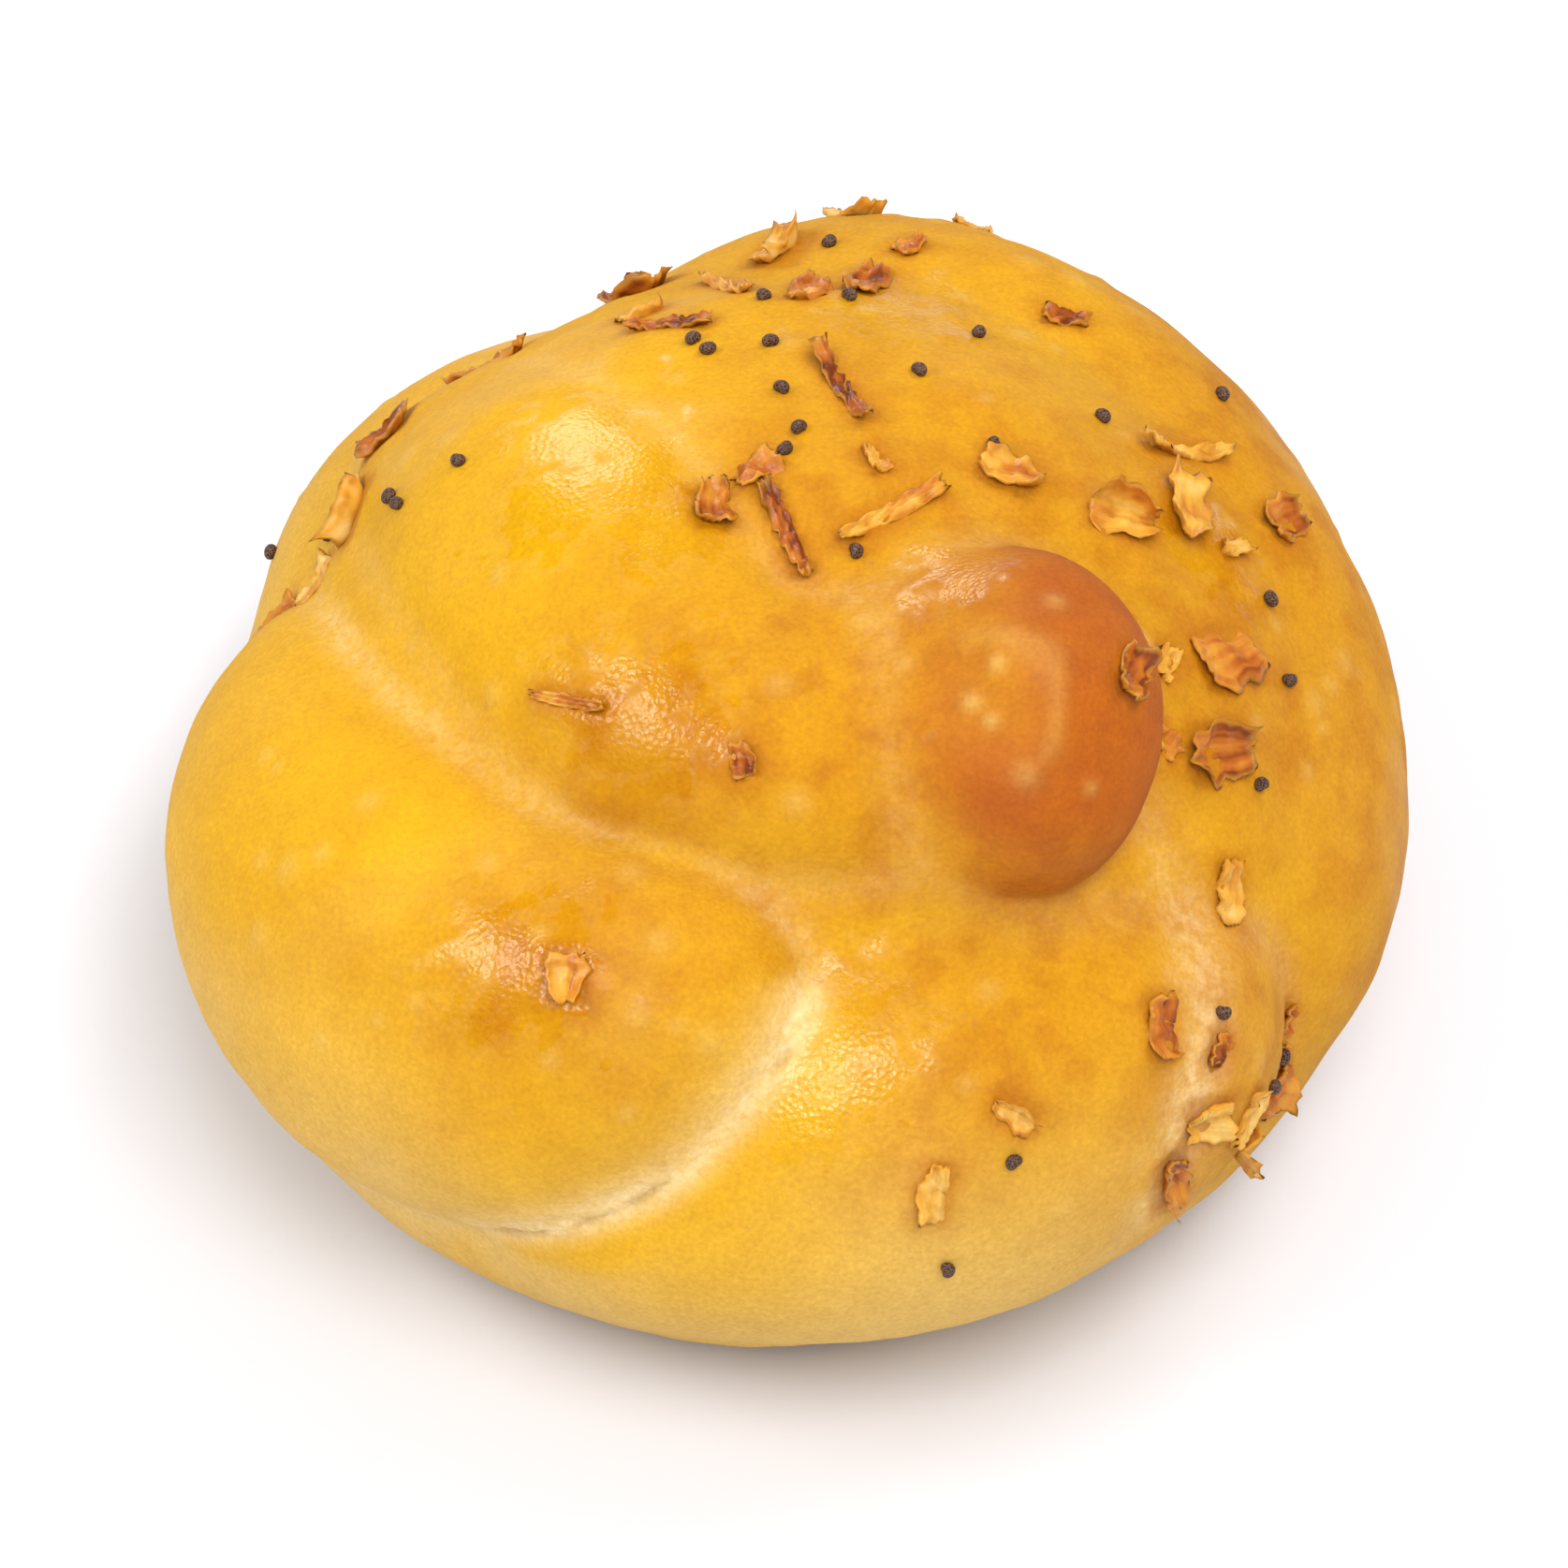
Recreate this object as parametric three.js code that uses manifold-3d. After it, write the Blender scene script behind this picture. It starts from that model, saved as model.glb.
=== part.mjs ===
// Onion roll: a rope of egg dough tied in a loose knot and baked, strewn with toasted onion
// flakes and poppy seeds. Millimetres, +Z up, the origin on the flat base under the knot's middle.
// The front, where the end of the rope stands up as a knob, faces -Y.

import * as THREE from "three";
import { NURBSCurve } from "three/addons/curves/NURBSCurve.js";
import { mergeVertices } from "three/addons/utils/BufferGeometryUtils.js";
import Module from "manifold-3d";

// Driving sizes of the baked dough
const rollRadius = 42;
const rollHeight = 52;
const ropeRadius = 17;

// Each strand of the rope, bend by bend: turn in degrees round the roll from its right side,
// reach from the middle in roll radii, rise in roll heights, and girth in rope radii.
// A flatness under 1 is a strand that has sunk under its own weight.
const strands = [
  {
    name: "right lobe",
    flatness: 1,
    bends: [
      [-39, 0.61, 0.19, 0.35],
      [-21, 0.72, 0.3, 0.8],
      [0, 0.65, 0.36, 0.95],
      [31, 0.65, 0.4, 1.06],
      [67, 0.75, 0.45, 1.06],
      [97, 0.78, 0.42, 0.94],
      [117, 0.67, 0.29, 0.53],
    ],
  },
  {
    name: "back lobe",
    flatness: 1,
    bends: [
      [86, 0.72, 0.23, 0.53],
      [106, 0.76, 0.31, 0.88],
      [127, 0.75, 0.33, 0.94],
      [152, 0.7, 0.31, 0.88],
      [174, 0.43, 0.27, 0.53],
    ],
  },
  {
    name: "front lobe",
    flatness: 1,
    bends: [
      [-131, 0.51, 0.19, 0.35],
      [-123, 0.65, 0.25, 0.68],
      [-105, 0.65, 0.33, 0.81],
      [-81, 0.63, 0.38, 0.95],
      [-58, 0.63, 0.4, 0.96],
      [-38, 0.66, 0.38, 0.85],
      [-18, 0.55, 0.35, 0.53],
    ],
  },
  {
    name: "left lobe",
    flatness: 1,
    bends: [
      [-85, 0.68, 0.62, 0.06],
      [-87, 0.67, 0.62, 0.35],
      [-97, 0.64, 0.6, 0.62],
      [-109, 0.64, 0.55, 0.76],
      [-131, 0.66, 0.45, 0.97],
      [-165, 0.65, 0.39, 1],
      [-197, 0.67, 0.33, 0.88],
      [-232, 0.54, 0.23, 0.47],
    ],
  },
  {
    name: "strand over the top",
    flatness: 0.85,
    bends: [
      [121, 0.75, 0.17, 0.47],
      [129, 0.76, 0.42, 0.79],
      [139, 0.41, 0.64, 0.95],
      [202, 0.22, 0.69, 0.89],
      [265, 0.29, 0.72, 0.76],
      [311, 0.36, 0.76, 0.59],
    ],
  },
];

// Masses of dough between the strands, by turn, reach and rise, with half their width,
// depth and height, and the lean in degrees that lowers their front.
const masses = [
  { name: "core", turn: 63, reach: 0.11, rise: 0.37, half: [37, 38, 28.3], lean: 0 },
  { name: "foot", turn: 90, reach: 0.06, rise: 0.25, half: [40.5, 40, 22], lean: 0 },
  { name: "neck", turn: -20, reach: 0.34, rise: 0.69, half: [12, 11, 11], lean: 0 },
  { name: "knob", turn: -39, reach: 0.45, rise: 0.82, half: [9.8, 12.4, 9], lean: 12 },
];

// Toasted onion: broad chips and a few narrow strips, curled up at their ends
const chipLength = [2.6, 6];
const chipBreadth = [0.5, 0.85]; // of its length
const stripLength = [6, 10];
const stripWidth = [1, 1.6];
const stripShare = 0.2;
const flakeThickness = 0.6;
const flakeSunk = 0.35; // how deep its middle lies in the crust
const flakeCurl = [0.04, 0.2]; // lift of its ends, of its length
const flakeTaper = 0.35;
const flakeSkew = 0.3;
const flakeTip = 14; // degrees that it may lie out of level

// Poppy seeds
const seedHalf = [0.6, 0.5, 0.46];
const seedSunk = 0.15;

// Showers of topping, seen from a hub inside the roll: turn round the roll, tilt from
// straight up and half width of the shower in degrees, size of its flakes against the
// common size, and the count of each topping.
const hubHeight = 14;
const showers = [
  { turn: 83, tilt: 40, spread: 20, size: 1, flakes: 8, seeds: 8 },
  { turn: 60, tilt: 6, spread: 11, size: 1, flakes: 5, seeds: 3 },
  { turn: 30, tilt: 46, spread: 20, size: 1, flakes: 7, seeds: 4 },
  { turn: -20, tilt: 40, spread: 8, size: 0.9, flakes: 2, seeds: 0 },
  { turn: -12, tilt: 56, spread: 14, size: 1, flakes: 3, seeds: 2 },
  { turn: -38, tilt: 77, spread: 16, size: 1, flakes: 9, seeds: 3 },
  { turn: -70, tilt: 72, spread: 10, size: 0.8, flakes: 2, seeds: 2 },
  { turn: 216, tilt: 34, spread: 28, size: 0.6, flakes: 3, seeds: 0 },
  { turn: 155, tilt: 44, spread: 7, size: 1, flakes: 0, seeds: 3 },
  { turn: 100, tilt: 74, spread: 28, size: 1, flakes: 8, seeds: 5 },
  { turn: 152, tilt: 66, spread: 16, size: 1, flakes: 4, seeds: 2 },
];
const toppingGap = 0.4; // bare crust left between toppings, in millimetres
const crustReach = 40; // middling distance of the crust from the hub
const placingTries = 30;
const firstDraw = 3247;
const drawFactor = 16807;
const drawModulus = 2147483647;

// How finely the solids are faceted
const curveDegree = 3;
const ropeSides = 20;
const ropeRows = 20;
const ropeCapRows = 3;
const massSides = 32;
const massRows = 20;
const flakeCells = [4, 2];

const wasm = await Module();
wasm.setup();

// One closed geometry as a solid
function solidFrom(geometry) {
  geometry.deleteAttribute("normal");
  geometry.deleteAttribute("uv");
  const merged = mergeVertices(geometry);
  const corners = merged.index.array;
  const faces = [];
  for (let i = 0; i < corners.length; i += 3) {
    const [a, b, c] = corners.slice(i, i + 3);
    if (a !== b && b !== c && c !== a) faces.push(a, b, c);
  }
  return new wasm.Manifold(
    new wasm.Mesh({
      numProp: 3,
      vertProperties: merged.attributes.position.array,
      triVerts: new Uint32Array(faces),
    }),
  );
}

function geometryFrom(solid) {
  const mesh = solid.getMesh();
  const geometry = new THREE.BufferGeometry();
  geometry.setAttribute("position", new THREE.BufferAttribute(mesh.vertProperties, 3));
  geometry.setIndex(new THREE.BufferAttribute(mesh.triVerts, 1));
  geometry.computeVertexNormals();
  return geometry;
}

// Moves each corner of a geometry to where the rule puts it
function reshape(geometry, rule) {
  const corners = geometry.attributes.position;
  const corner = new THREE.Vector3();
  for (let i = 0; i < corners.count; i += 1) {
    corner.copy(rule(corner.fromBufferAttribute(corners, i)));
    corners.setXYZ(i, corner.x, corner.y, corner.z);
  }
  return geometry;
}

function placeInRoll(turn, reach, rise) {
  const angle = THREE.MathUtils.degToRad(turn);
  return new THREE.Vector3(
    Math.cos(angle) * reach * rollRadius,
    Math.sin(angle) * reach * rollRadius,
    rise * rollHeight,
  );
}

// A smooth curve that starts at the first point and ends at the last
function smoothCurve(points) {
  const inner = points.length - curveDegree;
  const knots = [];
  for (let i = -curveDegree; i <= inner + curveDegree; i += 1) {
    knots.push(THREE.MathUtils.clamp(i / inner, 0, 1));
  }
  return new NURBSCurve(curveDegree, knots, points);
}

// A round-ended rope bent along its curve, thicker and thinner as its girth says
function strandGeometry({ bends, flatness }) {
  const path = smoothCurve(
    bends.map(([turn, reach, rise]) => {
      const place = placeInRoll(turn, reach, rise);
      return new THREE.Vector4(place.x, place.y, place.z, 1);
    }),
  );
  const thickness = smoothCurve(bends.map((bend) => new THREE.Vector4(bend[3] * ropeRadius, 0, 0, 1)));
  const rope = new THREE.CapsuleGeometry(1, 1, ropeCapRows, ropeSides, ropeRows);
  const up = new THREE.Vector3(0, 0, 1);
  return reshape(rope, (corner) => {
    const along = THREE.MathUtils.clamp(corner.y, -0.5, 0.5);
    const tangent = path.getTangent(along + 0.5);
    const side = tangent.clone().cross(up).normalize();
    const top = side.clone().cross(tangent);
    const radius = thickness.getPoint(along + 0.5).x;
    return path
      .getPoint(along + 0.5)
      .addScaledVector(side, corner.x * radius)
      .addScaledVector(tangent, (corner.y - along) * radius)
      .addScaledVector(top, corner.z * radius * flatness);
  });
}

function massGeometry({ turn, reach, rise, half, lean }) {
  const mass = new THREE.SphereGeometry(1, massSides, massRows);
  mass.rotateX(Math.PI / 2);
  mass.scale(...half);
  mass.rotateX(THREE.MathUtils.degToRad(lean));
  mass.translate(...placeInRoll(turn, reach, rise));
  return mass;
}

// The knot of dough, cut off flat where it sat on the tray
function doughSolid() {
  const lumps = [...strands.map(strandGeometry), ...masses.map(massGeometry)];
  const knot = lumps.map(solidFrom).reduce((joined, lump) => joined.add(lump));
  const tray = new THREE.BoxGeometry(4 * rollRadius, 4 * rollRadius, rollHeight);
  tray.translate(0, 0, -rollHeight / 2);
  return knot.subtract(solidFrom(tray));
}

// Even random numbers from 0 to 1, the same at every run
let draw = firstDraw;
function random() {
  draw = (draw * drawFactor) % drawModulus;
  return draw / drawModulus;
}

function randomIn([low, high]) {
  return low + (high - low) * random();
}

// A direction out of the hub, evenly spread over the shower
function showerDirection({ turn, tilt, spread }) {
  const around = 2 * Math.PI * random();
  const off = THREE.MathUtils.degToRad(spread) * Math.sqrt(random());
  return new THREE.Vector3(0, 0, 1)
    .applyAxisAngle(new THREE.Vector3(0, 1, 0), off)
    .applyAxisAngle(new THREE.Vector3(0, 0, 1), around)
    .applyAxisAngle(new THREE.Vector3(0, 1, 0), THREE.MathUtils.degToRad(tilt))
    .applyAxisAngle(new THREE.Vector3(0, 0, 1), THREE.MathUtils.degToRad(turn));
}

// Sizes of one flake, drawn at random
function drawFlake({ size: share }) {
  const narrow = random() < stripShare;
  const size = random();
  const length = share * THREE.MathUtils.lerp(...(narrow ? stripLength : chipLength), size);
  const width = narrow ? share * randomIn(stripWidth) : length * randomIn(chipBreadth);
  return {
    length,
    width,
    room: (length + width) / 4,
    curl: randomIn(flakeCurl),
    skew: randomIn([-flakeSkew, flakeSkew]),
    spin: randomIn([0, 360]),
    tip: randomIn([-flakeTip, flakeTip]),
  };
}

function drawSeed() {
  return { room: seedHalf[0], spin: randomIn([0, 360]) };
}

// Chooses where the toppings of one kind lie, each clear of those before it
function scatter(count, shower, drawOne, placed) {
  const chosen = [];
  for (let i = 0; i < count; i += 1) {
    const piece = drawOne(shower);
    for (let tries = 0; tries < placingTries; tries += 1) {
      const direction = showerDirection(shower);
      const free = placed.every(
        (other) =>
          direction.angleTo(other.direction) * crustReach > piece.room + other.room + toppingGap,
      );
      if (free) {
        const spot = { ...piece, direction };
        placed.push(spot);
        chosen.push(spot);
        break;
      }
    }
  }
  return chosen;
}

// A thin chip that narrows to its ends, leans to one side and curls up
function flakeGeometry({ length, width, curl, skew }) {
  const chip = new THREE.BoxGeometry(2, 2, flakeThickness, ...flakeCells, 1);
  return reshape(chip, ({ x, y, z }) => {
    const halfWidth = (width / 2) * (1 - flakeTaper * x * x) * (1 + skew * x);
    const forward = (length / 2) * (x + skew * y * (1 - x * x));
    return new THREE.Vector3(forward, y * halfWidth, z + curl * length * x * x);
  });
}

function seedGeometry() {
  return new THREE.OctahedronGeometry(1, 1).scale(...seedHalf);
}

// Turns and moves a topping on to the crust that its direction meets
function layOnCrust(geometry, { direction, spin, tip = 0 }, crust, sunk) {
  const hub = new THREE.Vector3(0, 0, hubHeight);
  const outside = hub.clone().addScaledVector(direction, 2 * rollRadius);
  const [hit] = new THREE.Raycaster(outside, direction.clone().negate()).intersectObject(crust);
  const lie = new THREE.Quaternion().setFromUnitVectors(new THREE.Vector3(0, 0, 1), hit.face.normal);
  geometry.rotateX(THREE.MathUtils.degToRad(tip));
  geometry.rotateZ(THREE.MathUtils.degToRad(spin));
  geometry.translate(0, 0, -sunk);
  geometry.applyQuaternion(lie);
  geometry.translate(...hit.point);
  return geometry;
}

// Every flake and seed as it lies on the dough
function toppingGeometries(dough) {
  const crust = new THREE.Mesh(geometryFrom(dough), new THREE.MeshBasicMaterial());
  const placed = [];
  const laid = [];
  for (const shower of showers) {
    for (const flake of scatter(shower.flakes, shower, drawFlake, placed)) {
      laid.push(layOnCrust(flakeGeometry(flake), flake, crust, flakeSunk - flakeThickness / 2));
    }
    for (const seed of scatter(shower.seeds, shower, drawSeed, placed)) {
      laid.push(layOnCrust(seedGeometry(), seed, crust, seedSunk - seedHalf[2]));
    }
  }
  return laid;
}

// The whole roll in one piece: loose scraps and sealed hollows left by the joining are dropped
function rollSolid() {
  const dough = doughSolid();
  const toppings = toppingGeometries(dough).map(solidFrom);
  const joined = toppings.reduce((roll, topping) => roll.add(topping), dough);
  return joined.decompose().reduce((largest, body) => (body.volume() > largest.volume() ? body : largest));
}

const crustMaterial = new THREE.MeshStandardMaterial({
  color: new THREE.Color().setRGB(0.9, 0.65, 0.2, THREE.SRGBColorSpace),
  roughness: 0.45,
  metalness: 0,
});

const roll = new THREE.Mesh(geometryFrom(rollSolid()), crustMaterial);
roll.name = "roll";

const onionRoll = new THREE.Group();
onionRoll.add(roll);

export default onionRoll;
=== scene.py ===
import math

import bpy
import numpy as np
from mathutils import Matrix, Vector, noise
from mathutils.bvhtree import BVHTree


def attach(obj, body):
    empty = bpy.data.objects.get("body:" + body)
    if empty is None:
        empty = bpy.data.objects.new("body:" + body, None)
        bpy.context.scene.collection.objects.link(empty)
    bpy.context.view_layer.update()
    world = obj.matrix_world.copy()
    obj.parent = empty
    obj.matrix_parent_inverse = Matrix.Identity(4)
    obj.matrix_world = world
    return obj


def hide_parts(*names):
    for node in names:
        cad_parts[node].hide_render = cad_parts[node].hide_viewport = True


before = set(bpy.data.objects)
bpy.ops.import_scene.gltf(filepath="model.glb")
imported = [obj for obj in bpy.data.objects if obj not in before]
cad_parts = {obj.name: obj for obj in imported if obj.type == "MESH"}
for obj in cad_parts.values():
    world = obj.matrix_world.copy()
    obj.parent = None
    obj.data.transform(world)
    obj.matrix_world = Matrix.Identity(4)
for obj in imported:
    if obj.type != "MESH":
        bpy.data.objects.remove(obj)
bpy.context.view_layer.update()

mm = 0.001
print("frame loaded, nodes:", sorted(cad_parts))


# small helpers for the whole scene
def deselectAll():
    if bpy.context.object and bpy.context.object.mode != "OBJECT":
        bpy.ops.object.mode_set(mode="OBJECT")
    bpy.ops.object.select_all(action="DESELECT")


def pick(*things):
    deselectAll()
    for thing in things:
        thing.select_set(True)
    bpy.context.view_layer.objects.active = things[-1]


def addModifier(thing, kind, name, **settings):
    pick(thing)
    bpy.ops.object.modifier_add(type=kind)
    modifier = thing.modifiers[-1]
    modifier.name = name
    for key, value in settings.items():
        setattr(modifier, key, value)
    bpy.ops.object.modifier_apply(modifier=name)


def smoothStep(low, high, value):
    share = np.clip((value - low) / (high - low), 0, 1)
    return share * share * (3 - 2 * share)


def noiseAt(points, size, shift=0):
    offset = Vector((shift, 1.7 * shift, -2.3 * shift))
    return np.array([noise.noise(Vector(point) / size + offset) for point in points])


# the dough: a rope tied in a loose knot, strand by strand
# each bend is turn in degrees, reach in roll radii, rise in roll heights, girth in rope radii
dough = {
    "rollRadius": 42 * mm,
    "rollHeight": 52 * mm,
    "ropeRadius": 17 * mm,
    "strands": {
        "rightLobe": [
            (-39, 0.61, 0.19, 0.35),
            (-21, 0.72, 0.3, 0.8),
            (0, 0.65, 0.36, 0.95),
            (31, 0.65, 0.4, 1.06),
            (67, 0.75, 0.45, 1.06),
            (97, 0.78, 0.42, 0.94),
            (117, 0.67, 0.29, 0.53),
        ],
        "backLobe": [
            (86, 0.72, 0.23, 0.53),
            (106, 0.76, 0.31, 0.88),
            (127, 0.75, 0.33, 0.94),
            (152, 0.7, 0.31, 0.88),
            (174, 0.43, 0.27, 0.53),
        ],
        "frontLobe": [
            (-131, 0.51, 0.19, 0.35),
            (-123, 0.65, 0.25, 0.68),
            (-105, 0.65, 0.33, 0.81),
            (-81, 0.63, 0.38, 0.95),
            (-58, 0.63, 0.4, 0.96),
            (-38, 0.66, 0.38, 0.85),
            (-18, 0.55, 0.35, 0.53),
        ],
        "leftLobe": [
            (-85, 0.68, 0.62, 0.06),
            (-87, 0.67, 0.62, 0.35),
            (-97, 0.64, 0.6, 0.62),
            (-109, 0.64, 0.55, 0.76),
            (-131, 0.66, 0.45, 0.97),
            (-165, 0.65, 0.39, 1),
            (-197, 0.67, 0.33, 0.88),
            (-232, 0.54, 0.23, 0.47),
        ],
        "overStrand": [
            (121, 0.75, 0.17, 0.47),
            (129, 0.76, 0.42, 0.79),
            (139, 0.41, 0.64, 0.95),
            (202, 0.22, 0.69, 0.89),
            (265, 0.29, 0.72, 0.76),
            (311, 0.36, 0.76, 0.59),
        ],
    },
    "flatness": {"overStrand": 0.85},  # the other strands are round
    # turn, reach, rise, half sizes, lean in degrees
    "masses": {
        "core": (63, 0.11, 0.37, (37 * mm, 38 * mm, 28.3 * mm), 0),
        "foot": (90, 0.06, 0.25, (40.5 * mm, 40 * mm, 22 * mm), 0),
        "neck": (-20, 0.34, 0.69, (12 * mm, 11 * mm, 11 * mm), 0),
        "knob": (-39, 0.45, 0.82, (9.8 * mm, 12.4 * mm, 9 * mm), 12),
    },
    # these show no crease between them
    "grownTogether": ("rightLobe", "backLobe", "core", "foot", "neck"),
    "grownVoxel": 0.9 * mm,
    "grownSmooth": 30,
    "voxel": 0.48 * mm,
    "smooth": 11,
    "curveSteps": 12,
    "lumpSize": 13 * mm,
    "lumpHeight": 1.0 * mm,
}


def rollPlace(turn, reach, rise):
    angle = math.radians(turn)
    return Vector((
        math.cos(angle) * reach * dough["rollRadius"],
        math.sin(angle) * reach * dough["rollRadius"],
        rise * dough["rollHeight"],
    ))


def addStrand(name, bends, flatness):
    deselectAll()
    bpy.ops.curve.primitive_bezier_circle_add(radius=dough["ropeRadius"])
    section = bpy.context.object
    section.scale = (1, flatness, 1)
    bpy.ops.object.transform_apply(scale=True)
    section.data.resolution_u = dough["curveSteps"]
    deselectAll()
    bpy.ops.curve.primitive_nurbs_path_add(radius=1, location=(0, 0, 0))
    rope = bpy.context.object
    rope.name = name
    spline = rope.data.splines[0]
    spline.points.add(len(bends) - len(spline.points))
    for point, (turn, reach, rise, girth) in zip(spline.points, bends):
        point.co = (*rollPlace(turn, reach, rise), 1)
        point.radius = girth
    spline.order_u = 4
    spline.use_endpoint_u = True
    spline.resolution_u = dough["curveSteps"]
    rope.data.twist_mode = "Z_UP"
    rope.data.bevel_mode = "OBJECT"
    rope.data.bevel_object = section
    rope.data.use_fill_caps = True
    pick(rope)
    bpy.ops.object.convert(target="MESH")
    bpy.data.objects.remove(section)
    return rope


def addMass(name, turn, reach, rise, half, lean):
    deselectAll()
    bpy.ops.mesh.primitive_uv_sphere_add(
        segments=48, ring_count=32, radius=1,
        location=rollPlace(turn, reach, rise), rotation=(math.radians(lean), 0, 0),
    )
    mass = bpy.context.object
    mass.name = name
    mass.scale = half
    bpy.ops.object.transform_apply(location=True, rotation=True, scale=True)
    return mass


def fuseDough(lumps, voxel, rounds):
    pick(*lumps)
    if len(lumps) > 1:
        bpy.ops.object.join()
    fused = bpy.context.object
    addModifier(fused, "REMESH", "fuse", mode="VOXEL", voxel_size=voxel)
    addModifier(fused, "SMOOTH", "soften", factor=0.5, iterations=rounds)
    return fused


def surfaceTree(thing):
    corners = [tuple(vertex.co) for vertex in thing.data.vertices]
    faces = [tuple(face.vertices) for face in thing.data.polygons]
    return BVHTree.FromPolygons(corners, faces)


lumps = {}
for name, bends in dough["strands"].items():
    lumps[name] = addStrand(name, bends, dough["flatness"].get(name, 1))
for name, values in dough["masses"].items():
    lumps[name] = addMass(name, *values)
grown = [lumps.pop(name) for name in dough["grownTogether"]]
lumps["body"] = fuseDough(grown, dough["grownVoxel"], dough["grownSmooth"])
trees = {name: surfaceTree(lump) for name, lump in lumps.items()}
doughPiece = fuseDough(list(lumps.values()), dough["voxel"], dough["smooth"])
doughPiece.name = "dough"
doughPiece.data.name = "dough"

lumpTexture = bpy.data.textures.new("doughLumps", "CLOUDS")
lumpTexture.noise_scale = dough["lumpSize"]
lumpTexture.noise_depth = 1
addModifier(doughPiece, "DISPLACE", "lumps", texture=lumpTexture, texture_coords="LOCAL",
            strength=dough["lumpHeight"], mid_level=0.5)

# cut off flat where it sat on the tray
pick(doughPiece)
bpy.ops.object.mode_set(mode="EDIT")
bpy.ops.mesh.select_all(action="SELECT")
bpy.ops.mesh.bisect(plane_co=(0, 0, 0), plane_no=(0, 0, 1), clear_inner=True, use_fill=True)
bpy.ops.object.mode_set(mode="OBJECT")
print("dough shaped:", len(doughPiece.data.polygons), "faces")


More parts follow.
